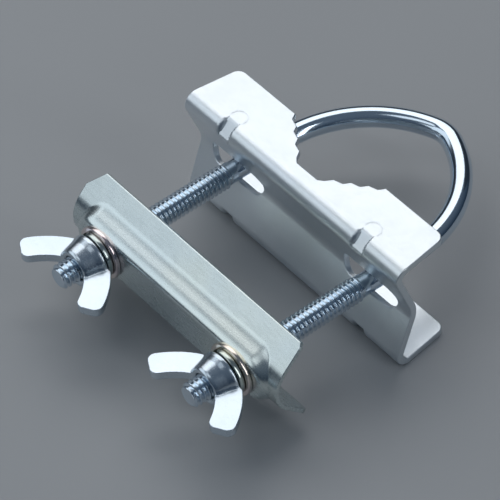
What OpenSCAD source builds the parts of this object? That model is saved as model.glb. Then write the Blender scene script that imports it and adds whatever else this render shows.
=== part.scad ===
// U-bolt pipe clamp: a bent rod with two threaded legs, a toothed channel saddle, a vee clamp
// plate, and a flat washer, a split spring washer and a wing nut on each leg.
// Origin at the centre of the arch's springing line. +Y runs along the legs towards the arch,
// +X along the saddle, +Z up and square to the plane of the U-bolt. Millimetres.

/* [U-bolt] */
// Distance between the two leg axes
leg_spacing = 49; // [47:0.5:51]
// Distance from the springing line to the free end of each leg
leg_length = 69; // [66:0.5:74]
// Major diameter of the leg threads
thread_d = 6.35; // [6:0.05:6.5]
// Length of thread on each leg
thread_length = 51.5; // [46:0.5:52]
// Diameter of the plain rod
rod_d = 5.5; // [5:0.1:6]
// Height of the arch's centre line above the springing line
arch_rise = 31; // [29:0.5:34]
// Centre line radius of the arch's crown
crown_r = 9; // [7:0.5:12]

/* [Saddle] */
// Length of the saddle at its front
saddle_front_length = 78; // [74:0.5:84]
// Length of the saddle along the back edges of its flanges
saddle_back_length = 74.6; // [70:0.2:80]
// Height over the two flanges
saddle_height = 33; // [31:0.5:36]
// Sheet thickness of the saddle
saddle_sheet = 1.8; // [1.4:0.1:2]
// Distance from the springing line to the back edges of the flanges
flange_back = 2; // [1:0.5:4]
// Distance from the front of the bends to the back edges of the flanges
saddle_depth = 16.3; // [16:0.1:18]
// Outside radius of the two long bends
bend_r = 3.4; // [2.6:0.1:4]
// Lean of each half of the dished web
web_lean = 20.5; // [17:0.5:22]
// Front radius along the middle of the web
web_valley_r = 6; // [3:0.5:8]
// Radius of the flange corners
flange_corner_r = 2.6; // [1:0.2:4]
// Overall length of each leg slot
slot_length = 19.2; // [16:0.2:20]
// Height of each leg slot
slot_height = 6.7; // [6.6:0.1:7.4]

/* [Jaw] */
// Half width of the toothed jaw at the flange's back edge
jaw_half_width = 16.5; // [15:0.5:18]
// Number of teeth on each side of the jaw
jaw_teeth = 4; // [3:1:4]
// Distance between teeth along the saddle
tooth_step_x = 3.45; // [3:0.05:3.6]
// Distance between teeth along the legs
tooth_step_y = 2.43; // [2:0.05:2.5]
// Depth of the jaw below the flange's back edge
jaw_depth = 10.2; // [9.8:0.1:10.4]

/* [Corner dents] */
// Radius of the stiffening dents pressed across the long bends
dent_r = 3.4; // [3:0.1:3.8]
// Depth of the dents below the outer corner of the bend
dent_depth = 1.2; // [0.9:0.1:1.4]
// Thickness of metal round each dent
dent_sheet = 1.5; // [1:0.1:1.8]

/* [Clamp plate] */
// Length of the clamp plate
plate_length = 76; // [72:0.5:80]
// Height of the clamp plate
plate_height = 23.6; // [22:0.2:26]
// Sheet thickness of the clamp plate
plate_sheet = 1.2; // [1:0.1:1.5]
// Outside radius along the ridge of the plate
plate_ridge_r = 9; // [7:0.5:9.5]
// Angle of each plate arm back from the plate's face
plate_arm_angle = 45; // [40:1:50]
// Distance from the springing line to the flat face of the raised boss
boss_face = 55.6; // [54:0.2:58]
// How far the boss stands in front of the ridge
boss_rise = 1.4; // [1:0.1:2]
// Half height of the boss at its flat face
boss_half_height = 5.6; // [5.2:0.1:6.4]
// Extra half height of the boss at its foot
boss_draft = 1.2; // [0.6:0.1:1.6]
// Overall length of the boss at its flat face
boss_length = 69; // [64:0.5:70]
// Diameter of the two leg holes in the plate
plate_hole_d = 7.1; // [6.9:0.1:7.6]
// Size of the clipped corner
plate_clip = 2.6; // [1:0.1:3.5]

/* [Washers] */
// Outside diameter of the flat washers
flat_washer_od = 14; // [13:0.5:16]
// Bore of the flat washers
flat_washer_id = 7; // [6.8:0.1:7.4]
// Thickness of the flat washers
flat_washer_t = 1.2; // [1:0.1:1.6]
// Outside diameter of the spring washers
spring_washer_od = 12; // [11:0.2:12.6]
// Bore of the spring washers
spring_washer_id = 6.9; // [6.7:0.1:7.2]
// Thickness of the spring washers
spring_washer_t = 1.7; // [1.4:0.1:2]
// Width of the split in each spring washer
split_gap = 0.9; // [0.5:0.1:1.4]

/* [Wing nuts] */
// Diameter of the nut's base
nut_base_d = 12.6; // [11.5:0.1:13]
// Diameter of the nut's nose
nut_nose_d = 9.6; // [9:0.1:11]
// Height of the nut's body
nut_height = 6; // [5.5:0.1:7]
// Centre line radius of each curved wing
wing_curve_r = 22; // [20:0.5:24]
// Width of each wing
wing_width = 6.4; // [5.5:0.1:7]
// Thickness of each wing
wing_t = 2.4; // [2:0.1:2.8]
// Corner radius of the wing tips
wing_corner_r = 2; // [1.5:0.1:2.5]

/* [Hidden] */
$fn = 64;
cut = 1;                 // how far a cutting body runs past what it cuts
seat_gap = 0.03;         // air between stacked parts
nut_clearance = 0.04;    // radial running clearance of the nut on its thread
thread_runout = 0.6;     // length of the cones at both ends of the thread

half_spacing = leg_spacing / 2;

// The arch is two side arcs that start square to the springing line, joined by the crown arc.
side_r = (pow(arch_rise - crown_r, 2) / (half_spacing - crown_r) + half_spacing + crown_r) / 2;
crown_angle = acos((side_r - half_spacing) / (side_r - crown_r));

// Bend and valley centres of the saddle's section, in [y, z].
bend_y = -flange_back - saddle_depth + bend_r;
bend_z = saddle_height / 2 - bend_r;
valley_y = bend_y + (bend_z * sin(web_lean) - web_valley_r - bend_r) / cos(web_lean);

// Plan taper of the saddle's flanges.
flange_taper = atan((saddle_front_length - saddle_back_length) / 2 / (saddle_depth - bend_r));

// Stack along each leg, measured from the springing line towards the free ends.
flat_washer_back = boss_face + seat_gap;
spring_washer_back = flat_washer_back + flat_washer_t + seat_gap;
nut_back = spring_washer_back + spring_washer_t + seat_gap;
ridge_front = boss_face - boss_rise;

rod_colour = [0.72, 0.76, 0.80];
sheet_colour = [0.80, 0.83, 0.85];
nut_colour = [0.78, 0.80, 0.82];

// Puts its children at both legs: as drawn on the right, mirrored on the left.
module on_both_sides() {
    children();
    mirror([1, 0, 0]) children();
}

// Turns a body drawn along +Z so that it runs from a leg towards its free end.
module along_leg(side, distance) {
    translate([side * half_spacing, -distance, 0])
        rotate([90, 0, 0])
            children();
}

// Section drawn in [y, z], swept along X and centred on the origin.
module sweep_x(length) {
    rotate([90, 0, 90])
        linear_extrude(height = length, center = true)
            children();
}

// Adds the mirror image of an outline's upper half, to close it below.
function with_lower_half(upper) =
    concat(upper, [for (i = [len(upper) - 1 : -1 : 0]) [upper[i][0], -upper[i][1]]]);

// Curved strip of sheet between two angles.
module bend_2d(inner_r, sheet, from, to) {
    reach = 2 * (inner_r + sheet);
    middle = (from + to) / 2;
    intersection() {
        difference() {
            circle(r = inner_r + sheet);
            circle(r = inner_r);
        }
        polygon([[0, 0],
                 reach * [cos(from), sin(from)],
                 reach * [cos(middle), sin(middle)],
                 reach * [cos(to), sin(to)]]);
    }
}

// Slice of a disc between two angles.
module pie_2d(radius, from, to) {
    reach = 2 * radius;
    middle = (from + to) / 2;
    intersection() {
        circle(r = radius);
        polygon([[0, 0],
                 reach * [cos(from), sin(from)],
                 reach * [cos(middle), sin(middle)],
                 reach * [cos(to), sin(to)]]);
    }
}

// Slot outline: length is overall, height is the width across.
module slot_2d(length, height) {
    straight = length - height;
    square([straight, height], center = true);
    for (side = [-1, 1])
        translate([side * straight / 2, 0]) circle(d = height);
}

// --- U-bolt -------------------------------------------------------------------------------

module rod_arc(radius, from, to) {
    rotate([0, 0, from])
        rotate_extrude(angle = to - from)
            translate([radius, 0]) circle(d = rod_d);
}

module leg() {
    translate([half_spacing, 0, 0])
        rotate([90, 0, 0]) {
            cylinder(h = leg_length - thread_length, d = rod_d);
            translate([0, 0, leg_length - thread_length])
                cylinder(h = thread_runout, d1 = rod_d, d2 = thread_d);
            translate([0, 0, leg_length - thread_length + thread_runout])
                cylinder(h = thread_length - 2 * thread_runout, d = thread_d);
            translate([0, 0, leg_length - thread_runout])
                cylinder(h = thread_runout, d1 = thread_d, d2 = thread_d - 2 * thread_runout);
        }
}

module u_bolt() {
    color(rod_colour) {
        on_both_sides() {
            leg();
            translate([half_spacing - side_r, 0, 0])
                rod_arc(side_r, 0, crown_angle);
        }
        translate([0, (side_r - crown_r) * sin(crown_angle), 0]) {
            rod_arc(crown_r, crown_angle, 180 - crown_angle);
            on_both_sides()
                crown_band();
        }
    }
}

// Faint band, a hair wider than the rod, that joins a side arc to the crown.
module crown_band() {
    rotate([0, 0, crown_angle])
        translate([crown_r, 0, 0])
            rotate([90, 0, 0])
                cylinder(h = 0.4, d = rod_d + 0.03, center = true);
}

// --- Saddle -------------------------------------------------------------------------------

// Everything behind the saddle's skin, at a depth below its outer surface.
module behind_saddle_skin(depth) {
    back = -flange_back + (depth > 0 ? cut : 0);
    top = saddle_height / 2 - depth;
    bend = [bend_y, bend_z];
    leave = bend - (bend_r - depth) * [cos(web_lean), sin(web_lean)];
    meet = [valley_y, 0] + (web_valley_r + depth) * [cos(web_lean), sin(web_lean)];
    difference() {
        union() {
            polygon(with_lower_half([[back, top], [bend_y, top], bend, leave, meet]));
            for (level = [-1, 1])
                translate([bend_y, level * bend_z]) circle(r = bend_r - depth);
        }
        translate([valley_y, 0]) pie_2d(web_valley_r + depth, -web_lean, web_lean);
    }
}

// Plan of the saddle: wide at the front, tapered to rounded corners at the back.
module saddle_plan() {
    front_x = saddle_front_length / 2;
    front_y = bend_y;
    corner_x = saddle_back_length / 2
               + flange_corner_r * tan(flange_taper) - flange_corner_r / cos(flange_taper);
    corner_y = -flange_back - flange_corner_r;
    side_x = corner_x + flange_corner_r * cos(flange_taper);
    side_y = corner_y + flange_corner_r * sin(flange_taper);
    back_x = saddle_back_length / 2;
    difference() {
        polygon([[-front_x, front_y - bend_r - cut], [-front_x, front_y], [-back_x, -flange_back],
                 [back_x, -flange_back], [front_x, front_y], [front_x, front_y - bend_r - cut]]);
        for (side = [0, 1])
            mirror([side, 0])
                difference() {
                    polygon([[side_x, side_y], [corner_x, corner_y], [corner_x, -flange_back],
                             [corner_x, cut], [side_x + cut, cut], [side_x + cut, side_y]]);
                    translate([corner_x, corner_y]) circle(r = flange_corner_r);
                }
    }
}

// Points down one flank of the jaw, from the back edge to the last tooth.
function jaw_tip(k) = [jaw_half_width - k * tooth_step_x, -flange_back - k * tooth_step_y];
function jaw_flank() = [for (k = [0 : jaw_teeth - 1])
                            each (k < jaw_teeth - 1)
                                 ? [jaw_tip(k), jaw_tip(k) - [0.29 * tooth_step_x, 0.7 * tooth_step_y]]
                                 : [jaw_tip(k)]];

module jaw_plan() {
    bottom_y = -flange_back - jaw_depth;
    last = jaw_tip(jaw_teeth - 1);
    right = concat([[jaw_half_width, cut]], jaw_flank(),
                   [[last[0] - 1.2, bottom_y + 1],
                    [last[0] - 2.5, bottom_y]]);
    left = [for (i = [len(right) - 1 : -1 : 0]) [-right[i][0], right[i][1]]];
    polygon(concat(right, left));
}

// Round bar lying at 45 degrees across the upper long bend above one leg.
module dent_bar(radius) {
    axis_offset = (bend_r + dent_r - dent_depth) * sqrt(0.5);
    translate([half_spacing, bend_y - axis_offset, bend_z + axis_offset])
        rotate([-45, 0, 0])
            cylinder(h = saddle_depth, r = radius, center = true);
}

module four_dents(radius) {
    for (side = [0, 1])
        for (level = [0, 1])
            mirror([side, 0, 0])
                mirror([0, 0, level])
                    dent_bar(radius);
}

// Solid block behind the skin, notched by the dents.
module saddle_block(length, depth, dent_radius) {
    difference() {
        sweep_x(length) behind_saddle_skin(depth);
        four_dents(dent_radius);
    }
}

module saddle_bracket() {
    color(sheet_colour)
        difference() {
            intersection() {
                saddle_block(saddle_front_length, 0, dent_r);
                linear_extrude(height = saddle_height + 2 * cut, center = true)
                    saddle_plan();
            }
            saddle_block(saddle_front_length + 2 * cut, saddle_sheet, dent_r + dent_sheet);
            linear_extrude(height = saddle_height + 2 * cut, center = true)
                jaw_plan();
            for (side = [-1, 1])
                along_leg(side, 0)
                    linear_extrude(height = saddle_depth + flange_back + cut)
                        slot_2d(slot_length, slot_height);
        }
}

// --- Clamp plate --------------------------------------------------------------------------

// Everything behind the plate's skin, at a depth below its front surface.
module behind_plate_skin(depth) {
    radius = plate_ridge_r - depth;
    centre = [plate_ridge_r - ridge_front, 0];
    along = [sin(plate_arm_angle), cos(plate_arm_angle)];
    inward = [cos(plate_arm_angle), -sin(plate_arm_angle)];
    arm = (plate_height / 2 - plate_ridge_r * sin(plate_arm_angle)) / cos(plate_arm_angle)
          + (depth > 0 ? cut : 0);
    leave = centre - radius * inward;
    end = leave + arm * along;
    inner_end = end + (depth > 0 ? 4 * cut : plate_sheet) * inward;
    back_y = centre[0] + (depth > 0 ? 5 : 0.5) * cut;
    polygon(with_lower_half([leave, end, inner_end, [back_y, inner_end[1]]]));
    translate(centre) pie_2d(radius, 180 - plate_arm_angle, 180 + plate_arm_angle);
}

// Slot-shaped frustum standing on the plate, from its face back to a given depth.
module boss(length, half_height, spread, depth) {
    straight = length / 2 - half_height;
    foot = half_height + spread;
    rotate([-90, 0, 0]) {
        for (side = [-1, 1])
            translate([side * straight, 0, 0])
                cylinder(h = depth, r1 = half_height, r2 = foot);
        rotate([90, 0, 90])
            linear_extrude(height = 2 * straight, center = true)
                polygon([[-half_height, 0], [half_height, 0], [foot, depth], [-foot, depth]]);
    }
}

module clamp_plate() {
    foot = boss_half_height + boss_draft;
    depth = boss_rise + plate_ridge_r * (1 - cos(plate_arm_angle))
            + (foot - plate_ridge_r * sin(plate_arm_angle)) * tan(plate_arm_angle)
            + plate_sheet / 2;
    color(sheet_colour)
        difference() {
            union() {
                sweep_x(plate_length) behind_plate_skin(0);
                translate([0, -boss_face, 0])
                    boss(boss_length, boss_half_height, boss_draft, depth);
            }
            sweep_x(plate_length + 2 * cut) behind_plate_skin(plate_sheet);
            translate([0, -boss_face + plate_sheet, 0])
                boss(boss_length - 2 * plate_sheet, boss_half_height - plate_sheet,
                     boss_draft, depth + plate_sheet);
            for (side = [-1, 1])
                along_leg(side, boss_face - 2 * plate_sheet)
                    cylinder(h = 3 * plate_sheet, d = plate_hole_d);
            clipped_corner();
        }
}

// Wedge that clips the upper left corner of the plate.
module clipped_corner() {
    translate([-plate_length / 2, 0, plate_height / 2])
        rotate([90, 45, 0])
            cube([2 * plate_clip, sqrt(2) * plate_clip, 4 * plate_height], center = true);
}

// --- Washers and nuts ---------------------------------------------------------------------

module flat_washer(side) {
    color(nut_colour)
        along_leg(side, flat_washer_back)
            difference() {
                cylinder(h = flat_washer_t, d = flat_washer_od);
                translate([0, 0, -cut])
                    cylinder(h = flat_washer_t + 2 * cut, d = flat_washer_id);
            }
}

// Split ring; the split is cut on a slant, above and to the left of the leg.
module spring_washer(side) {
    color(rod_colour)
        along_leg(side, spring_washer_back)
            difference() {
                cylinder(h = spring_washer_t, d = spring_washer_od);
                translate([0, 0, -cut])
                    cylinder(h = spring_washer_t + 2 * cut, d = spring_washer_id);
                rotate([0, 0, 125])
                    translate([spring_washer_od / 2, 0, spring_washer_t / 2])
                        rotate([25, 0, 0])
                            cube([spring_washer_od, split_gap, 4 * spring_washer_t], center = true);
            }
}

// One wing, drawn flat: a curved strip with a round-cornered tip.
module wing_plan() {
    start = 60;
    tip = 25;
    corner_turn = wing_corner_r / wing_curve_r * 180 / PI;
    inner_half = wing_width / 2 - wing_corner_r;
    translate([4 - wing_curve_r * cos(start), 2 - wing_curve_r * sin(start)]) {
        bend_2d(wing_curve_r - wing_width / 2, wing_width, tip + corner_turn, start);
        bend_2d(wing_curve_r - inner_half, 2 * inner_half, tip, start);
        for (row = [-1, 1])
            rotate(tip + corner_turn)
                translate([wing_curve_r + row * inner_half, 0])
                    circle(r = wing_corner_r);
    }
}

module wing_nut(side) {
    color(nut_colour)
        translate([side * half_spacing, -nut_back, 0])
            difference() {
                union() {
                    rotate([90, 0, 0])
                        cylinder(h = nut_height, d1 = nut_base_d, d2 = nut_nose_d);
                    translate([0, -4, 0])
                        on_both_sides()
                            linear_extrude(height = wing_t, center = true)
                                wing_plan();
                }
                translate([-nut_base_d, 0, -wing_t])
                    cube([2 * nut_base_d, wing_width, 2 * wing_t]);
                rotate([90, 0, 0])
                    translate([0, 0, -cut])
                        cylinder(h = 3 * nut_height, r = thread_d / 2 + nut_clearance);
            }
}

module flat_washer_left() { flat_washer(-1); }
module flat_washer_right() { flat_washer(1); }
module spring_washer_left() { spring_washer(-1); }
module spring_washer_right() { spring_washer(1); }
module wing_nut_left() { wing_nut(-1); }
module wing_nut_right() { wing_nut(1); }

u_bolt();
saddle_bracket();
clamp_plate();
flat_washer_left();
flat_washer_right();
spring_washer_left();
spring_washer_right();
wing_nut_left();
wing_nut_right();
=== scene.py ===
"""Looks of the U-bolt pipe clamp: rolled threads, pressed sheet, forged wing nuts, bright zinc plate.

Shapes are worked out in millimetres in the row frame and turned into metres as meshes are made.
"""
import math

import bmesh
import bpy
import numpy as np
from mathutils import Matrix, Vector
from mathutils.geometry import delaunay_2d_cdt

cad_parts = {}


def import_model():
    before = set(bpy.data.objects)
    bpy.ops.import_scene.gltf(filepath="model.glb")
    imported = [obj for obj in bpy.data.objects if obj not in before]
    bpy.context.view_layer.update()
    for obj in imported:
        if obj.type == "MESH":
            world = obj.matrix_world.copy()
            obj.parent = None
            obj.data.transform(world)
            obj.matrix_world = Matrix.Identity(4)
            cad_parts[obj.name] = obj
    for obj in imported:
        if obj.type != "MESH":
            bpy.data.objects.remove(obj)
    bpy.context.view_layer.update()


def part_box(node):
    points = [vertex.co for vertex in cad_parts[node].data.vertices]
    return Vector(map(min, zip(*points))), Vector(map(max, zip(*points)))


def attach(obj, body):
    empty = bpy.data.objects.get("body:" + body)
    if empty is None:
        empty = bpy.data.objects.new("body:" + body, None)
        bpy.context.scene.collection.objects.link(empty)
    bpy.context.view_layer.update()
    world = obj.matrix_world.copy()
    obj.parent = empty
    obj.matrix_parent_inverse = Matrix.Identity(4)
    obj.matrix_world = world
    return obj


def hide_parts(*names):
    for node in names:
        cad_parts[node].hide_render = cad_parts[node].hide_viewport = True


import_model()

MM = 0.001


# --- Sizes, in millimetres ---------------------------------------------------------------------

def box_mm(node):
    """Lowest and highest corner of a CAD node."""
    low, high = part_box(node)
    return np.array(low) / MM, np.array(high) / MM


X, Y, Z = 0, 1, 2
BOLT_LOW, BOLT_HIGH = box_mm("u_bolt")
SADDLE_LOW, SADDLE_HIGH = box_mm("saddle_bracket")
PLATE_LOW, PLATE_HIGH = box_mm("clamp_plate")

LEG_X = sum(corner[X] for corner in box_mm("flat_washer_right")) / 2
LEG_END = BOLT_LOW[Y]
THREAD_R = BOLT_HIGH[X] - LEG_X
THREAD_PITCH = 1.27
THREAD_LENGTH = 51.5
THREAD_RUNOUT = 1.6
TIP_CHAMFER = 0.68
ROD_R = 2.75
CROWN_R = 9.0

SADDLE_SHEET = 1.8
BEND_R = 3.4
VALLEY_R = 6.0
WEB_LEAN = math.radians(20.5)
FLANGE_CORNER_R = 2.6
SADDLE_BACK_HALF = 37.3
SLOT_LENGTH = 19.2
SLOT_HEIGHT = 7.1        # 0.4 over the CAD slot, because these walls tilt with the web
JAW_HALF_WIDTH = 16.5
JAW_TEETH = 4
TOOTH_STEP = np.array([3.45, 2.43])
JAW_DEPTH = 10.2
DENT_DEPTH = 1.2
DENT_HALF_WIDTH = 2.3
DENT_SIDE = 0.8          # width over which a dent's side drops
DENT_EDGE = 0.16         # rounding where a dent's floor meets the bend
MARK_R = 2.3             # radius of the faint ring behind each dent
MARK_BACK = 1.9          # how far the ring's centre lies behind the bend's
MARK_DEPTH = 0.08
MARK_WIDTH = 0.25

PLATE_SHEET = 1.2
RIDGE_R = 9.0
ARM_ANGLE = math.radians(45)
BOSS_RISE = 1.4
BOSS_HALF_HEIGHT = 5.6
BOSS_LENGTH = 69.0
BOSS_SLOPE = 2.9         # depth gained for each millimetre outside the boss's face
PLATE_HOLE_R = 3.55
PLATE_CLIP = 2.6
PLATE_CORNER = 0.8

FLAT_WASHER_BORE_R = 3.5
SPRING_WASHER_BORE_R = 3.45
SPRING_LIFT = 0.34       # how far the ends of a spring washer are sprung apart
SPLIT_ANGLE = math.radians(35)
SPLIT_HALF_GAP = math.radians(4.5)
SPLIT_SLANT = math.radians(25)

NUT_HEIGHT = 6.0
NUT_BASE_R = 6.3
NUT_NOSE_R = 4.75
NUT_BORE_R = 3.34
WING_CURVE_R = 22.0
WING_WIDTH = 6.4
WING_HALF_T = 1.15
WING_CORNER_R = 2.0
WING_ROOT_X = 3.9        # the wings start inside the nut's body but outside its bore


# --- Mesh tools --------------------------------------------------------------------------------

def mesh_of(name, points, faces, normals=None, sharp_deg=40):
    """A smooth-shaded mesh from points in millimetres; normals, if given, are one per point."""
    mesh = bpy.data.meshes.new(name)
    mesh.from_pydata((np.asarray(points) * MM).tolist(), [], faces)
    mesh.shade_smooth()
    if normals is None:
        weld(mesh)
        mesh.set_sharp_from_angle(angle=math.radians(sharp_deg))
    else:
        mesh.normals_split_custom_set_from_vertices(np.asarray(normals).tolist())
    return mesh


def weld(mesh):
    """Joins points that lie together, drops empty faces and turns the rest outwards."""
    work = bmesh.new()
    work.from_mesh(mesh)
    bmesh.ops.remove_doubles(work, verts=work.verts, dist=2e-7)
    bmesh.ops.dissolve_degenerate(work, edges=work.edges, dist=1e-8)
    bmesh.ops.recalc_face_normals(work, faces=work.faces)
    work.to_mesh(mesh)
    work.free()


def piece_of(mesh, material, body, node):
    """An object for the mesh that stands for a CAD node and moves with its body."""
    piece = bpy.data.objects.new(mesh.name, mesh)
    bpy.context.collection.objects.link(piece)
    mesh.materials.append(material)
    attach(piece, body)
    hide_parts(node)
    return piece


def grid_faces(rows, columns, wrap_rows=False, wrap_columns=True):
    """Quads over a grid of points that is stored row by row."""
    faces = []
    for i in range(rows if wrap_rows else rows - 1):
        for j in range(columns if wrap_columns else columns - 1):
            i2, j2 = (i + 1) % rows, (j + 1) % columns
            faces.append((i * columns + j, i * columns + j2, i2 * columns + j2, i2 * columns + j))
    return faces


def smooth_step(value):
    t = np.clip(value, 0, 1)
    return t * t * (3 - 2 * t)


def soft_positive(value, width):
    """max(value, 0) with its corner rounded over the width."""
    inside = np.clip(value, -width, width)
    return np.where(value > width, value, (inside + width) ** 2 / (4 * width))


def arc(centre, radius, start, end, steps):
    """Points on an arc in the plane, angles in radians."""
    angles = np.linspace(start, end, steps + 1)
    return np.c_[centre[0] + radius * np.cos(angles), centre[1] + radius * np.sin(angles)]


def resample(loop, spacing):
    """A closed outline with extra points, so that no edge is longer than the spacing."""
    points = []
    for start, end in zip(loop, np.roll(loop, -1, axis=0)):
        length = np.linalg.norm(end - start)
        if length < 1e-6:
            continue
        parts = max(1, math.ceil(length / spacing))
        points.extend(start + (end - start) * k / parts for k in range(parts))
    return np.array(points)


def inside_loop(points, loop):
    """Which of the points lie inside a closed outline."""
    x, y = points[:, :1], points[:, 1:]
    x1, y1 = loop[:, 0], loop[:, 1]
    x2, y2 = np.roll(x1, -1), np.roll(y1, -1)
    crosses = (y1 > y) != (y2 > y)
    rise = np.where(y2 == y1, 1e-12, y2 - y1)
    hit = crosses & (x < (x2 - x1) * (y - y1) / rise + x1)
    return hit.sum(axis=1) % 2 == 1


def outward(loop, is_hole):
    """Unit normals of an outline, pointing out of the sheet."""
    before, after = np.roll(loop, 1, axis=0), np.roll(loop, -1, axis=0)
    along = after - before
    area = np.sum(loop[:, 0] * after[:, 1] - after[:, 0] * loop[:, 1])
    sign = (1 if area > 0 else -1) * (-1 if is_hole else 1)
    normals = np.c_[along[:, 1], -along[:, 0]] * sign
    return normals / np.linalg.norm(normals, axis=1, keepdims=True)


def sheet_mesh(name, middle, thickness, outline, holes, fine, spacing=0.6, round_r=0.3):
    """Pressed sheet: a flat outline with holes, laid on the curved middle surface, with rounded edges.

    middle(u, v) gives points of the middle surface, fine(u, v) is true where the mesh is dense.
    """
    loops = [resample(np.array(outline), spacing * 0.75)]
    loops += [resample(np.array(hole)[::-1], spacing * 0.6) for hole in holes]
    ways_out = [outward(loop, k > 0) for k, loop in enumerate(loops)]
    inset = [loop - way * round_r for loop, way in zip(loops, ways_out)]
    flat = np.vstack(inset + [fill_points(inset, fine, spacing)])
    triangles = triangulate(flat, inset)

    step = 0.02

    def surface(uv):
        u, v = uv[:, 0], uv[:, 1]
        du = (middle(u + step, v) - middle(u - step, v)) / (2 * step)
        dv = (middle(u, v + step) - middle(u, v - step)) / (2 * step)
        normal = np.cross(du, dv)
        return middle(u, v), normal / np.linalg.norm(normal, axis=1, keepdims=True), du, dv

    place, normal, _, _ = surface(flat)
    half = thickness / 2
    points = [place + half * normal, place - half * normal]
    normals = [normal, -normal]
    count = len(flat)
    faces = [tuple(t) for t in triangles] + [(t[0] + count, t[2] + count, t[1] + count) for t in triangles]

    start, made = 0, 2 * count
    turns = np.radians([30, 60, 90])
    for loop, way in zip(inset, ways_out):
        size = len(loop)
        rings = [np.arange(start, start + size)]
        for level, turn in [(1, t) for t in turns] + [(-1, t) for t in turns[::-1]]:
            place, normal, du, dv = surface(loop + way * round_r * math.sin(turn))
            tangent = du * way[:, :1] + dv * way[:, 1:]
            tangent /= np.linalg.norm(tangent, axis=1, keepdims=True)
            height = level * (half - round_r * (1 - math.cos(turn)))
            points.append(place + height * normal)
            normals.append(tangent * math.sin(turn) + level * normal * math.cos(turn))
            rings.append(np.arange(made, made + size))
            made += size
        rings.append(np.arange(start, start + size) + count)
        for upper, lower in zip(rings, rings[1:]):
            for j in range(size):
                k = (j + 1) % size
                faces.append((int(upper[k]), int(upper[j]), int(lower[j]), int(lower[k])))
        start += size
    return mesh_of(name, np.vstack(points), faces, np.vstack(normals))


def fill_points(loops, fine, spacing):
    """Staggered points inside the sheet, denser where fine says so, kept off its edges."""
    low, high = loops[0].min(axis=0), loops[0].max(axis=0)
    kept = []
    for pitch, dense in ((spacing, False), (spacing / 2, True)):
        rows = np.arange(low[1] + pitch / 2, high[1], pitch * 0.87)
        for k, v in enumerate(rows):
            u = np.arange(low[0] + pitch * (0.25 + 0.5 * (k % 2)), high[0], pitch)
            row = np.c_[u, np.full(len(u), v)]
            row = row[fine(row[:, 0], row[:, 1]) == dense]
            if len(row):
                kept.append((row, pitch))
    edge = np.vstack(loops)
    chosen = []
    for row, pitch in kept:
        inside = inside_loop(row, loops[0])
        for hole in loops[1:]:
            inside &= ~inside_loop(row, hole)
        row = row[inside]
        if len(row):
            gap = np.min(np.linalg.norm(row[:, None] - edge[None], axis=2), axis=1)
            chosen.append(row[gap > 0.5 * pitch])
    return np.vstack(chosen)


def triangulate(flat, loops):
    """Triangles over the flat points inside a sheet, its outlines kept as edges."""
    edges, start = [], 0
    for loop in loops:
        size = len(loop)
        edges += [(start + j, start + (j + 1) % size) for j in range(size)]
        start += size
    points, _, triangles, source, _, _ = delaunay_2d_cdt(
        [Vector(p) for p in flat.tolist()], edges, [], 0, 1e-5)
    if len(points) != len(flat):
        raise ValueError("the sheet's outline crosses itself or doubles a point")
    order = np.array([s[0] for s in source])
    triangles = order[np.array(triangles)]
    centres = flat[triangles].mean(axis=1)
    keep = inside_loop(centres, loops[0])
    for hole in loops[1:]:
        keep &= ~inside_loop(centres, hole)
    triangles = triangles[keep]
    a, b, c = flat[triangles[:, 0]], flat[triangles[:, 1]], flat[triangles[:, 2]]
    area = (b - a)[:, 0] * (c - a)[:, 1] - (b - a)[:, 1] * (c - a)[:, 0]
    triangles[area < 0] = triangles[area < 0][:, ::-1]
    return triangles.tolist()


def lathe(profile, x, segments=96):
    """A ring turned about a leg: profile is a closed loop of (radius, y)."""
    angles = np.linspace(0, 2 * math.pi, segments, endpoint=False)
    profile = np.array(profile)
    radius, y = profile[:, :1], profile[:, 1:]
    points = np.stack([x + radius * np.sin(angles), np.broadcast_to(y, (len(profile), segments)),
                       radius * np.cos(angles)], axis=2)
    return points.reshape(-1, 3), grid_faces(len(profile), segments, wrap_rows=True)


def rounded_box_profile(inner, outer, near, far, corner, steps=4):
    """Closed loop of (radius, y) for a ring with rounded corners."""
    loop = []
    for r, y, start in ((outer - corner, far - corner, 0), (inner + corner, far - corner, 90),
                        (inner + corner, near + corner, 180), (outer - corner, near + corner, 270)):
        loop.extend(arc((r, y), corner, math.radians(start), math.radians(start + 90), steps))
    return loop


# --- Materials ---------------------------------------------------------------------------------

def node_of(tree, kind, **settings):
    node = tree.nodes.new(kind)
    for key, value in settings.items():
        setattr(node, key, value)
    return node


def noise(tree, coordinates, scale, detail=4.0, roughness=0.55, stretch=(1, 1, 1)):
    """Noise in metres: scale is features per metre, stretch makes streaks."""
    mapping = node_of(tree, "ShaderNodeMapping")
    mapping.inputs["Scale"].default_value = stretch
    tree.links.new(coordinates, mapping.inputs["Vector"])
    made = node_of(tree, "ShaderNodeTexNoise")
    made.inputs["Scale"].default_value = scale
    made.inputs["Detail"].default_value = detail
    made.inputs["Roughness"].default_value = roughness
    tree.links.new(mapping.outputs["Vector"], made.inputs["Vector"])
    return made.outputs["Fac"]


def remap(tree, value, low, high, to_low, to_high):
    made = node_of(tree, "ShaderNodeMapRange", interpolation_type="SMOOTHSTEP")
    for key, number in (("From Min", low), ("From Max", high), ("To Min", to_low), ("To Max", to_high)):
        made.inputs[key].default_value = number
    tree.links.new(value, made.inputs["Value"])
    return made.outputs["Result"]


def mix_colour(tree, factor, first, second):
    """Mixes two colours; each may be a socket or a fixed colour."""
    made = node_of(tree, "ShaderNodeMix", data_type="RGBA")
    tree.links.new(factor, made.inputs["Factor"])
    for key, colour in (("A", first), ("B", second)):
        socket = next(s for s in made.inputs if s.name == key and s.type == "RGBA")
        if isinstance(colour, bpy.types.NodeSocket):
            tree.links.new(colour, socket)
        else:
            socket.default_value = (*colour, 1)
    return next(s for s in made.outputs if s.type == "RGBA")


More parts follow.
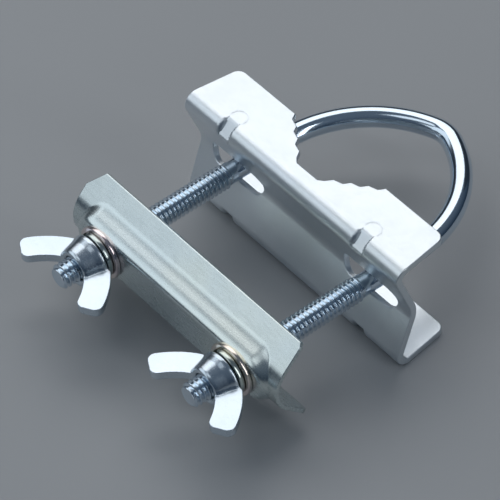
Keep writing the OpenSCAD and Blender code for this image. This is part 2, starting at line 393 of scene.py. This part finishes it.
def arithmetic(tree, operation, first, second):
    made = node_of(tree, "ShaderNodeMath", operation=operation)
    for k, value in enumerate((first, second)):
        if isinstance(value, bpy.types.NodeSocket):
            tree.links.new(value, made.inputs[k])
        else:
            made.inputs[k].default_value = value
    return made.outputs[0]


def zinc_colour(tree, coordinates, base, shade, sheen):
    """Two close greys in slow clouds, a thin tinted film and fine dull specks."""
    cloud = remap(tree, noise(tree, coordinates, 90, 3), 0.3, 0.7, 0, 1)
    film = remap(tree, noise(tree, coordinates, 48, 2), 0.4, 0.7, 0, 0.55)
    colour = mix_colour(tree, cloud, base, shade)
    colour = mix_colour(tree, film, colour, sheen)
    specks = remap(tree, noise(tree, coordinates, 2600, 3, 0.7), 0.64, 0.76, 0, 0.25)
    return mix_colour(tree, specks, colour, (0.45, 0.49, 0.53))


def weighted(tree, *pairs):
    """Sum of values, each times its weight."""
    terms = [arithmetic(tree, "MULTIPLY", value, weight) for value, weight in pairs]
    total = terms[0]
    for term in terms[1:]:
        total = arithmetic(tree, "ADD", total, term)
    return total


def zinc(name, base, shade, sheen, rough, grain, streak, orange_peel):
    """Bright zinc plate.

    base and shade are its two greys, sheen the tint of the passivation film, rough a pair of
    roughness limits, grain the depth of fine grain, streak the stretch of drawing or rolling
    marks along each axis, orange_peel the depth of slow waves in the metal under the plate.
    """
    material = bpy.data.materials.new(name)
    material.use_nodes = True
    tree = material.node_tree
    shader = tree.nodes["Principled BSDF"]
    coordinates = node_of(tree, "ShaderNodeTexCoord").outputs["Object"]
    tree.links.new(zinc_colour(tree, coordinates, base, shade, sheen), shader.inputs["Base Color"])

    fine = noise(tree, coordinates, 4200, 4, 0.65)
    marks = noise(tree, coordinates, 900, 5, 0.6, streak)
    patches = noise(tree, coordinates, 130, 2)
    waves = noise(tree, coordinates, 260, 2, 0.4)
    uneven = weighted(tree, (fine, 0.4), (marks, 0.4), (patches, 0.2))
    tree.links.new(remap(tree, uneven, 0.3, 0.7, *rough), shader.inputs["Roughness"])

    bump = node_of(tree, "ShaderNodeBump")
    bump.inputs["Strength"].default_value = 1.0
    bump.inputs["Distance"].default_value = MM
    height = weighted(tree, (fine, grain), (marks, grain * 1.3), (waves, orange_peel))
    tree.links.new(height, bump.inputs["Height"])
    tree.links.new(bump.outputs["Normal"], shader.inputs["Normal"])

    shader.inputs["Metallic"].default_value = 1.0
    shader.inputs["Coat Weight"].default_value = 0.12
    shader.inputs["Coat Roughness"].default_value = 0.12
    return material


rod_plate = zinc(
    "zinc_drawn_rod", base=(0.68, 0.77, 0.85), shade=(0.64, 0.73, 0.82), sheen=(0.68, 0.80, 0.91),
    rough=(0.09, 0.17), grain=0.0008, streak=(4, 0.35, 4), orange_peel=0.004)
saddle_plate = zinc(
    "zinc_pressed_sheet", base=(0.80, 0.85, 0.89), shade=(0.76, 0.82, 0.87), sheen=(0.80, 0.85, 0.84),
    rough=(0.33, 0.44), grain=0.0060, streak=(0.8, 1.6, 1.6), orange_peel=0.014)
clamp_plate_zinc = zinc(
    "zinc_clamp_plate", base=(0.68, 0.76, 0.77), shade=(0.65, 0.73, 0.74), sheen=(0.74, 0.79, 0.73),
    rough=(0.22, 0.31), grain=0.0018, streak=(0.4, 2, 2), orange_peel=0.008)
washer_plate = zinc(
    "zinc_washer", base=(0.86, 0.72, 0.72), shade=(0.80, 0.70, 0.72), sheen=(0.88, 0.80, 0.60),
    rough=(0.15, 0.25), grain=0.0020, streak=(2, 2, 2), orange_peel=0.006)
spring_plate = zinc(
    "zinc_spring_washer", base=(0.58, 0.64, 0.62), shade=(0.52, 0.58, 0.57), sheen=(0.62, 0.66, 0.56),
    rough=(0.15, 0.26), grain=0.0022, streak=(2, 2, 2), orange_peel=0.006)
nut_plate = zinc(
    "zinc_forged_nut", base=(0.66, 0.73, 0.79), shade=(0.61, 0.69, 0.76), sheen=(0.62, 0.72, 0.80),
    rough=(0.18, 0.30), grain=0.0034, streak=(1.5, 1.5, 1.5), orange_peel=0.026)


# --- U-bolt ------------------------------------------------------------------------------------

RING = 64
RING_ANGLES = np.linspace(0, 2 * math.pi, RING, endpoint=False)
HELIX_ANGLES = np.linspace(0, 2 * math.pi, RING + 1)
CREST_FLAT, ROOT_FLAT = 0.07, 0.10
CHAMFER_SLOPE = 1.05
TIP_ROUNDING = 0.35
THREAD_DEPTH = 0.6134 * THREAD_PITCH
# Share of the pitch and share of the thread's depth, from a crest to the next root.
THREAD_PROFILE = [(0.0, 0.0), (CREST_FLAT, 0.03), (0.12, 0.14), (0.25, 0.56), (0.36, 0.92),
                  (0.5 - ROOT_FLAT, 0.98), (0.5, 1.0)]


def thread_points(x):
    """Rows of points that follow the right-hand helix of one leg; each ends where a later one starts."""
    tip_r = THREAD_R - TIP_CHAMFER
    profile = THREAD_PROFILE + [(1 - f, d) for f, d in THREAD_PROFILE[-2:0:-1]]
    turns = math.ceil(THREAD_LENGTH / THREAD_PITCH) + 1
    rows = []
    for turn in range(-1, turns):
        for fraction, depth in profile:
            along = (turn + fraction + HELIX_ANGLES / (2 * math.pi)) * THREAD_PITCH
            along = np.clip(along, 0, THREAD_LENGTH)
            radius = THREAD_R - depth * THREAD_DEPTH
            radius = np.minimum(radius, tip_r + along * CHAMFER_SLOPE)
            radius = tip_r + (radius - tip_r) * smooth_step(along / TIP_ROUNDING)
            radius = ROD_R + (radius - ROD_R) * smooth_step((THREAD_LENGTH - along) / THREAD_RUNOUT)
            rows.append(np.c_[x + radius * np.sin(HELIX_ANGLES), LEG_END + along,
                              radius * np.cos(HELIX_ANGLES)])
    return rows, tip_r


def end_face(x, tip_r):
    """Rings of the sawn end face, slightly dished, from its middle to its rim."""
    rows = []
    for share, sink in ((1.0, 0.0), (0.93, -0.03), (0.84, 0.02), (0.5, 0.05), (0.2, 0.06), (0.02, 0.06)):
        rows.append(np.c_[x + share * tip_r * np.sin(RING_ANGLES), np.full(RING, LEG_END + sink),
                          share * tip_r * np.cos(RING_ANGLES)])
    return rows[::-1]


def rod_path():
    """Centre line of the plain rod, from one thread's end round the arch to the other's."""
    rise = BOLT_HIGH[Y] - ROD_R
    side_r = ((rise - CROWN_R) ** 2 / (LEG_X - CROWN_R) + LEG_X + CROWN_R) / 2
    crown_angle = math.acos((side_r - LEG_X) / (side_r - CROWN_R))
    crown_y = (side_r - CROWN_R) * math.sin(crown_angle)
    straight = [(LEG_X, y) for y in np.linspace(LEG_END + THREAD_LENGTH, 0, 12, endpoint=False)]
    right = np.vstack([straight, arc((LEG_X - side_r, 0), side_r, 0, crown_angle, 60)[:-1],
                       arc((0, crown_y), CROWN_R, crown_angle, math.pi / 2, 24)])
    left = right[:-1][::-1] * [-1, 1]
    return np.vstack([right, left])[::-1]


def u_bolt():
    points, faces = [], []

    def add(rows, closed=True):
        offset = sum(len(p) for p in points)
        points.append(np.vstack(rows))
        grid = grid_faces(len(rows), len(rows[0]), wrap_columns=closed)
        faces.extend(tuple(offset + k for k in face) for face in grid)

    for x in (-LEG_X, LEG_X):
        rows, tip_r = thread_points(x)
        add(rows, closed=False)
        add(end_face(x, tip_r))
    path = rod_path()
    along = np.gradient(path, axis=0)
    along /= np.linalg.norm(along, axis=1, keepdims=True)
    rows = []
    for (x, y), (tx, ty) in zip(path, along):
        across = ROD_R * np.sin(RING_ANGLES)
        rows.append(np.c_[x + ty * across, y - tx * across, ROD_R * np.cos(RING_ANGLES)])
    rows[0][:, 1] = rows[-1][:, 1] = LEG_END + THREAD_LENGTH
    add(rows)
    return mesh_of("u_bolt_rod", np.vstack(points), faces, sharp_deg=50)


piece_of(u_bolt(), rod_plate, "rod", "u_bolt")


# --- Saddle ------------------------------------------------------------------------------------

BEND_Y = SADDLE_LOW[Y] + BEND_R
BEND_Z = SADDLE_HIGH[Z] - BEND_R
VALLEY_Y = BEND_Y + (BEND_Z * math.sin(WEB_LEAN) - VALLEY_R - BEND_R) / math.cos(WEB_LEAN)
HALF_SHEET = SADDLE_SHEET / 2
MID_BEND_R = BEND_R - HALF_SHEET
MID_VALLEY_R = VALLEY_R + HALF_SHEET
LEAN = np.array([math.cos(WEB_LEAN), math.sin(WEB_LEAN)])
WEB_START = np.array([VALLEY_Y, 0]) + MID_VALLEY_R * LEAN
WEB_END = np.array([BEND_Y, BEND_Z]) - MID_BEND_R * LEAN
VALLEY_RUN = MID_VALLEY_R * WEB_LEAN
WEB_RUN = VALLEY_RUN + np.linalg.norm(WEB_END - WEB_START)
BEND_RUN = WEB_RUN + MID_BEND_R * (math.pi / 2 + WEB_LEAN)
FLANGE_RUN = BEND_RUN + SADDLE_HIGH[Y] - BEND_Y


def saddle_section(run):
    """y and z of the middle of the sheet at a distance along the section from the web's valley."""
    valley = np.minimum(run, VALLEY_RUN) / MID_VALLEY_R
    y = VALLEY_Y + MID_VALLEY_R * np.cos(valley)
    z = MID_VALLEY_R * np.sin(valley)
    web = np.clip(run, VALLEY_RUN, WEB_RUN) - VALLEY_RUN
    y = y - web * LEAN[1]
    z = z + web * LEAN[0]
    turn = (np.clip(run, WEB_RUN, BEND_RUN) - WEB_RUN) / MID_BEND_R
    start = math.pi + WEB_LEAN
    y = y + MID_BEND_R * (np.cos(start - turn) - math.cos(start))
    z = z + MID_BEND_R * (np.sin(start - turn) - math.sin(start))
    return y + np.maximum(run - BEND_RUN, 0), z


def saddle_middle(x, run):
    """Middle surface of the saddle, with the four flat dents and the faint ring behind each."""
    y, z = saddle_section(np.abs(run))
    across = np.abs(np.abs(x) - LEG_X)
    clear = 0.3     # between the dents, the flat that cuts them passes this far outside the bend
    inside = 1 - smooth_step((across - DENT_HALF_WIDTH) / DENT_SIDE + 0.5)
    notch = (DENT_DEPTH + clear) * inside - clear
    height = ((z - BEND_Z) - (y - BEND_Y)) * math.sqrt(0.5)
    sink = soft_positive(height - MID_BEND_R + notch, DENT_EDGE)
    y = y + sink * math.sqrt(0.5)
    z = z - sink * math.sqrt(0.5)
    mark = np.hypot(across, y - BEND_Y - MARK_BACK) - MARK_R
    on_flange = smooth_step((y - BEND_Y - 0.6) / 1.2)
    z = z - MARK_DEPTH * np.exp(-(mark / MARK_WIDTH) ** 2) * on_flange
    return np.stack([x, y, z * np.where(run < 0, -1.0, 1.0)], axis=1)


def jaw_flank():
    """Teeth from the flange's back edge down to the last one, as x and distance from the edge."""
    points = []
    for k in range(JAW_TEETH):
        tip = np.array([JAW_HALF_WIDTH, 0]) + k * TOOTH_STEP * [-1, 1]
        points.append(tip)
        if k < JAW_TEETH - 1:
            points.append(tip + TOOTH_STEP * [-0.29, 0.7])
    last_x = points[-1][0]
    points.append(np.array([last_x - 1.2, JAW_DEPTH - 1]))
    points.append(np.array([last_x - 2.5, JAW_DEPTH]))
    return np.array(points)


def saddle_outline():
    """Flat blank of the saddle: x and the distance along its section."""
    front_half = SADDLE_HIGH[X]
    taper = math.atan((front_half - SADDLE_BACK_HALF) / (FLANGE_RUN - BEND_RUN))
    corner_x = SADDLE_BACK_HALF + FLANGE_CORNER_R * (math.tan(taper) - 1 / math.cos(taper))
    corner = arc((corner_x, FLANGE_RUN - FLANGE_CORNER_R), FLANGE_CORNER_R, taper, math.pi / 2, 8)
    flank = jaw_flank() * [1, -1] + [0, FLANGE_RUN]
    right = np.vstack([[(front_half, BEND_RUN)], corner, flank])
    upper = np.vstack([right, right[::-1] * [-1, 1]])
    return np.vstack([upper, -upper])


def slot_outline(x):
    """One leg's slot, worked out as x and z and laid on the curved web."""
    straight = (SLOT_LENGTH - SLOT_HEIGHT) / 2
    radius = SLOT_HEIGHT / 2
    loop = np.vstack([arc((x + straight, 0), radius, -math.pi / 2, math.pi / 2, 16),
                      arc((x - straight, 0), radius, math.pi / 2, 3 * math.pi / 2, 16)])
    runs = np.linspace(-WEB_RUN, WEB_RUN, 400)
    heights = np.sign(runs) * saddle_section(np.abs(runs))[1]
    loop[:, 1] = np.interp(loop[:, 1], heights, runs)
    return loop


def near_dent(x, run):
    """Where the saddle's mesh is dense: about the dents and the rings behind them."""
    reach = 7
    across = np.abs(np.abs(x) - LEG_X)
    return (across < 5.2) & (np.abs(run) > WEB_RUN - reach) & (np.abs(run) < BEND_RUN + reach)


def saddle():
    return sheet_mesh("saddle_pressing", saddle_middle, SADDLE_SHEET, saddle_outline(),
                      [slot_outline(-LEG_X), slot_outline(LEG_X)], near_dent,
                      spacing=0.62, round_r=0.32)


piece_of(saddle(), saddle_plate, "saddle", "saddle_bracket")


# --- Clamp plate -------------------------------------------------------------------------------

RIDGE_Y = PLATE_LOW[Y] + BOSS_RISE + RIDGE_R
MID_RIDGE_R = RIDGE_R - PLATE_SHEET / 2
BOSS_MIDDLE_Y = PLATE_LOW[Y] + PLATE_SHEET / 2


def boss_distance(x, z):
    """Distance outside the boss's slot-shaped flat face, negative inside it."""
    straight = BOSS_LENGTH / 2 - BOSS_HALF_HEIGHT
    along = np.maximum(np.abs(x) - straight, 0)
    return np.hypot(along, z) - BOSS_HALF_HEIGHT


def plate_middle(x, z):
    """Middle surface of the vee plate with its raised boss."""
    high = np.abs(z)
    leave = MID_RIDGE_R * math.sin(ARM_ANGLE)
    curved = RIDGE_Y - np.sqrt(MID_RIDGE_R ** 2 - np.minimum(high, leave) ** 2)
    skin = curved + np.maximum(high - leave, 0) * math.tan(ARM_ANGLE)
    shoulder = BOSS_MIDDLE_Y + BOSS_SLOPE * soft_positive(boss_distance(x, z) + 0.1, 0.8)
    y = skin - soft_positive(skin - shoulder, 1.1)
    return np.stack([x, y, z], axis=1)


def plate_outline():
    """Small chamfers at three corners and a clipped fourth."""
    half, top = PLATE_HIGH[X], PLATE_HIGH[Z]
    reach = PLATE_CLIP * math.sqrt(2)
    near, low = half - PLATE_CORNER, top - PLATE_CORNER
    return np.array([(near, -top), (half, -low), (half, low), (near, top),
                     (-half + reach, top), (-half, top - reach), (-half, -low), (-near, -top)])


def plate_fine(x, z):
    """Where the plate's mesh is dense: along the edge of the boss."""
    distance = boss_distance(x, z)
    return (distance > -1.6) & (distance < 2.6)


def hole_outline(x):
    return arc((x, 0), PLATE_HOLE_R, 0, 2 * math.pi, 40)[:-1]


def clamp_plate():
    return sheet_mesh("vee_plate", plate_middle, PLATE_SHEET, plate_outline(),
                      [hole_outline(-LEG_X), hole_outline(LEG_X)], plate_fine,
                      spacing=0.7, round_r=0.25)


piece_of(clamp_plate(), clamp_plate_zinc, "plate", "clamp_plate")


# --- Washers and nuts --------------------------------------------------------------------------

def flat_washer(side):
    node = f"flat_washer_{side}"
    low, high = box_mm(node)
    x, outer = (low[X] + high[X]) / 2, (high[X] - low[X]) / 2
    profile = rounded_box_profile(FLAT_WASHER_BORE_R, outer, low[Y], high[Y], 0.32)
    points, faces = lathe(profile, x)
    return piece_of(mesh_of(f"washer_flat_{side}", points, faces), washer_plate, node, node)


def spring_washer(side):
    """A ring of rounded bar, cut through on a slant and sprung into a short helix."""
    node = f"spring_washer_{side}"
    low, high = box_mm(node)
    x, outer = (low[X] + high[X]) / 2, (high[Z] - low[Z]) / 2
    height = high[Y] - low[Y] - SPRING_LIFT
    section = np.array(rounded_box_profile(SPRING_WASHER_BORE_R, outer, -height / 2, height / 2, 0.28))
    radius = section[:, 0]
    rings = []
    for share in np.linspace(0, 1, 121):
        angle = SPLIT_ANGLE + SPLIT_HALF_GAP + share * (2 * math.pi - 2 * SPLIT_HALF_GAP)
        end = abs(2 * share - 1) ** 40
        lean = end * math.tan(SPLIT_SLANT) * section[:, 1] / outer
        y = (low[Y] + high[Y]) / 2 + section[:, 1] + SPRING_LIFT * (share - 0.5)
        turned = angle + lean
        rings.append(np.c_[x - radius * np.sin(turned), y, radius * np.cos(turned)])
    size = len(section)
    faces = grid_faces(len(rings), size)
    faces += [tuple(range(size))[::-1], tuple(range((len(rings) - 1) * size, len(rings) * size))]
    return piece_of(mesh_of(f"washer_spring_{side}", np.vstack(rings), faces), spring_plate, node, node)


def wing_outline():
    """Curved strip of one wing, in x and y from the nut's axis and base."""
    start, root, tip = np.radians([62, 60, 25])
    centre = (4 - WING_CURVE_R * math.cos(root), -2 - WING_CURVE_R * math.sin(root))
    turn = WING_CORNER_R / WING_CURVE_R
    row = WING_WIDTH / 2 - WING_CORNER_R

    def at(radius, angle):
        return centre[0] + radius * math.cos(angle), centre[1] + radius * math.sin(angle)

    outer = arc(centre, WING_CURVE_R + WING_WIDTH / 2, start, tip + turn, 16)
    tip_outer = arc(at(WING_CURVE_R + row, tip + turn), WING_CORNER_R,
                    tip + turn, tip + turn - math.pi / 2, 8)
    tip_inner = arc(at(WING_CURVE_R - row, tip + turn), WING_CORNER_R,
                    tip + turn - math.pi / 2, tip + turn - math.pi, 8)
    inner = arc(centre, WING_CURVE_R - WING_WIDTH / 2, tip + turn, start, 16)
    outline = np.vstack([outer, tip_outer[1:], tip_inner[1:], inner[1:]])
    outline[:, 0] = np.maximum(outline[:, 0], WING_ROOT_X)
    outline[:, 1] = np.minimum(outline[:, 1], -0.15)
    return outline


def prism(outline, half_height, mirror):
    """Closed block over an outline in x and y."""
    size = len(outline)
    flat = outline * [mirror, 1]
    points = np.vstack([np.c_[flat, np.full(size, -half_height)], np.c_[flat, np.full(size, half_height)]])
    faces = [(k, (k + 1) % size, size + (k + 1) % size, size + k) for k in range(size)]
    faces += [tuple(range(size))[::-1], tuple(range(size, 2 * size))]
    return points, faces


def nut_solid():
    """Body and wings of a wing nut as overlapping closed shells, base at y = 0, axis at x = 0."""
    profile = [(NUT_BORE_R, -0.5), (3.8, -0.02), (5.9, -0.02), (NUT_BASE_R, -0.35), (6.2, -1.1),
               (5.75, -2.4), (5.1, -5.2), (NUT_NOSE_R, -5.85), (4.3, -NUT_HEIGHT), (3.85, -NUT_HEIGHT),
               (NUT_BORE_R, 0.5 - NUT_HEIGHT)]
    wings = [prism(wing_outline(), WING_HALF_T, mirror) for mirror in (-1, 1)]
    return [lathe(profile, 0.0)] + wings


def forged(name, shells, voxel, soften):
    """Melts overlapping shells, in millimetres, into one skin with filleted joins; metres out."""
    work = bmesh.new()
    for points, faces in shells:
        made = [work.verts.new(p) for p in points.tolist()]
        for face in faces:
            work.faces.new([made[k] for k in face])
    bmesh.ops.recalc_face_normals(work, faces=work.faces)
    mesh = bpy.data.meshes.new(name + "_rough")
    work.to_mesh(mesh)
    work.free()
    rough = bpy.data.objects.new(name + "_rough", mesh)
    bpy.context.collection.objects.link(rough)
    melt = rough.modifiers.new("melt", "REMESH")
    melt.mode = "VOXEL"
    melt.voxel_size = voxel
    smooth = rough.modifiers.new("soften", "SMOOTH")
    smooth.factor = 0.5
    smooth.iterations = soften
    graph = bpy.context.evaluated_depsgraph_get()
    result = bpy.data.meshes.new_from_object(rough.evaluated_get(graph))
    result.name = name
    bpy.data.objects.remove(rough)
    bpy.data.meshes.remove(mesh)
    result.transform(Matrix.Scale(MM, 4))
    result.shade_smooth()
    return result


NUT_SKIN = forged("nut_skin", nut_solid(), voxel=0.14, soften=5)


def wing_nut(side):
    node = f"wing_nut_{side}"
    low, high = box_mm(node)
    mesh = NUT_SKIN.copy()
    mesh.name = f"nut_{side}_forging"
    mesh.transform(Matrix.Translation(Vector(((low[X] + high[X]) / 2, high[Y], 0)) * MM))
    return piece_of(mesh, nut_plate, f"nut_{side}", node)


for side in ("left", "right"):
    flat_washer(side)
    spring_washer(side)
    wing_nut(side)
bpy.data.meshes.remove(NUT_SKIN)


# --- Floor, light and camera -------------------------------------------------------------------

FLOOR_Z = (SADDLE_LOW[Z] - 0.05) * MM


def floor():
    """A pale sheet that sweeps up far behind the clamp."""
    width, near, depth, curve, top = 4.0, -2.5, 2.2, 0.8, 3.0
    profile = [(near, 0.0), (depth, 0.0)]
    profile += [(depth + curve * math.sin(a), curve * (1 - math.cos(a)))
                for a in np.linspace(0.1, math.pi / 2, 16)]
    profile.append((depth + curve, top))
    points = [(x, y, z) for y, z in profile for x in (-width, width)]
    faces = [(2 * k, 2 * k + 1, 2 * k + 3, 2 * k + 2) for k in range(len(profile) - 1)]
    mesh = bpy.data.meshes.new("floor_sheet")
    mesh.from_pydata(points, [], faces)
    mesh.shade_smooth()
    sheet = bpy.data.objects.new("floor_sheet", mesh)
    sheet.location = (0, 0, FLOOR_Z)
    sheet.rotation_euler = (0, 0, CAMERA_AZIMUTH)
    bpy.context.collection.objects.link(sheet)
    material = bpy.data.materials.new("floor_pale_grey")
    material.use_nodes = True
    tree = material.node_tree
    shader = tree.nodes["Principled BSDF"]
    coordinates = node_of(tree, "ShaderNodeTexCoord").outputs["Object"]
    tone = remap(tree, noise(tree, coordinates, 3, 3), 0.3, 0.7, 0, 1)
    tree.links.new(mix_colour(tree, tone, (0.40, 0.41, 0.42), (0.44, 0.45, 0.46)),
                   shader.inputs["Base Color"])
    shader.inputs["Roughness"].default_value = 0.6
    mesh.materials.append(material)


def softbox(name, aim, azimuth, elevation, distance, size, power, colour=(1, 1, 1)):
    """A rectangular lamp that faces the aim point; azimuth is measured from +X towards +Y."""
    lamp = bpy.data.lights.new(name, "AREA")
    lamp.shape = "RECTANGLE"
    lamp.size, lamp.size_y = size
    lamp.energy = power
    lamp.color = colour
    holder = bpy.data.objects.new(name, lamp)
    a, e = math.radians(azimuth), math.radians(elevation)
    way = Vector((math.cos(a) * math.cos(e), math.sin(a) * math.cos(e), math.sin(e)))
    holder.location = Vector(aim) + way * distance
    holder.rotation_mode = "QUATERNION"
    holder.rotation_quaternion = way.to_track_quat("Z", "Y")
    bpy.context.collection.objects.link(holder)


CAMERA_EYE = Vector((0.49288, -0.40485, 0.66537))
CAMERA_AIM = Vector((-0.00366, -0.02763, -0.00276))
CAMERA_ROLL = math.radians(-3.1)
CAMERA_LENS = 276.7
CAMERA_AZIMUTH = math.atan2(CAMERA_EYE.x, -CAMERA_EYE.y)


def camera():
    data = bpy.data.cameras.new("camera")
    data.lens = CAMERA_LENS
    data.sensor_width = 36
    data.clip_start, data.clip_end = 0.05, 20
    holder = bpy.data.objects.new("camera", data)
    holder.location = CAMERA_EYE
    look = (CAMERA_AIM - CAMERA_EYE).to_track_quat("-Z", "Y").to_matrix().to_4x4()
    turned = look @ Matrix.Rotation(CAMERA_ROLL, 4, "Z")
    holder.rotation_euler = turned.to_euler()
    bpy.context.collection.objects.link(holder)
    bpy.context.scene.camera = holder


def world():
    """Even studio surround: dim near the horizon, brighter overhead."""
    made = bpy.data.worlds.new("studio")
    made.use_nodes = True
    tree = made.node_tree
    background = tree.nodes["Background"]
    direction = node_of(tree, "ShaderNodeTexCoord").outputs["Generated"]
    split = node_of(tree, "ShaderNodeSeparateXYZ")
    tree.links.new(direction, split.inputs["Vector"])
    height = remap(tree, split.outputs["Z"], -0.1, 0.9, 0, 1)
    tree.links.new(mix_colour(tree, height, (0.010, 0.024, 0.045), (0.10, 0.13, 0.17)),
                   background.inputs["Color"])
    background.inputs["Strength"].default_value = 0.9
    bpy.context.scene.world = made


camera()
floor()
world()
softbox("lamp_over_back", (0, 0, 0), 147, 50, 0.9, (1.0, 0.75), 3.25)
softbox("lamp_over_front", (0, -0.02, 0), 262, 66, 1.0, (0.5, 0.3), 0.45, (0.93, 0.97, 1.0))
softbox("lamp_left_low", (0, -0.04, 0), 228, 36, 0.9, (1.1, 0.55), 1.75, (0.90, 0.96, 1.0))
softbox("lamp_right_edge", (0, 0, 0), 15, 28, 0.9, (0.10, 0.8), 0.9, (0.95, 0.98, 1.0))
bpy.context.scene.view_settings.view_transform = "Standard"
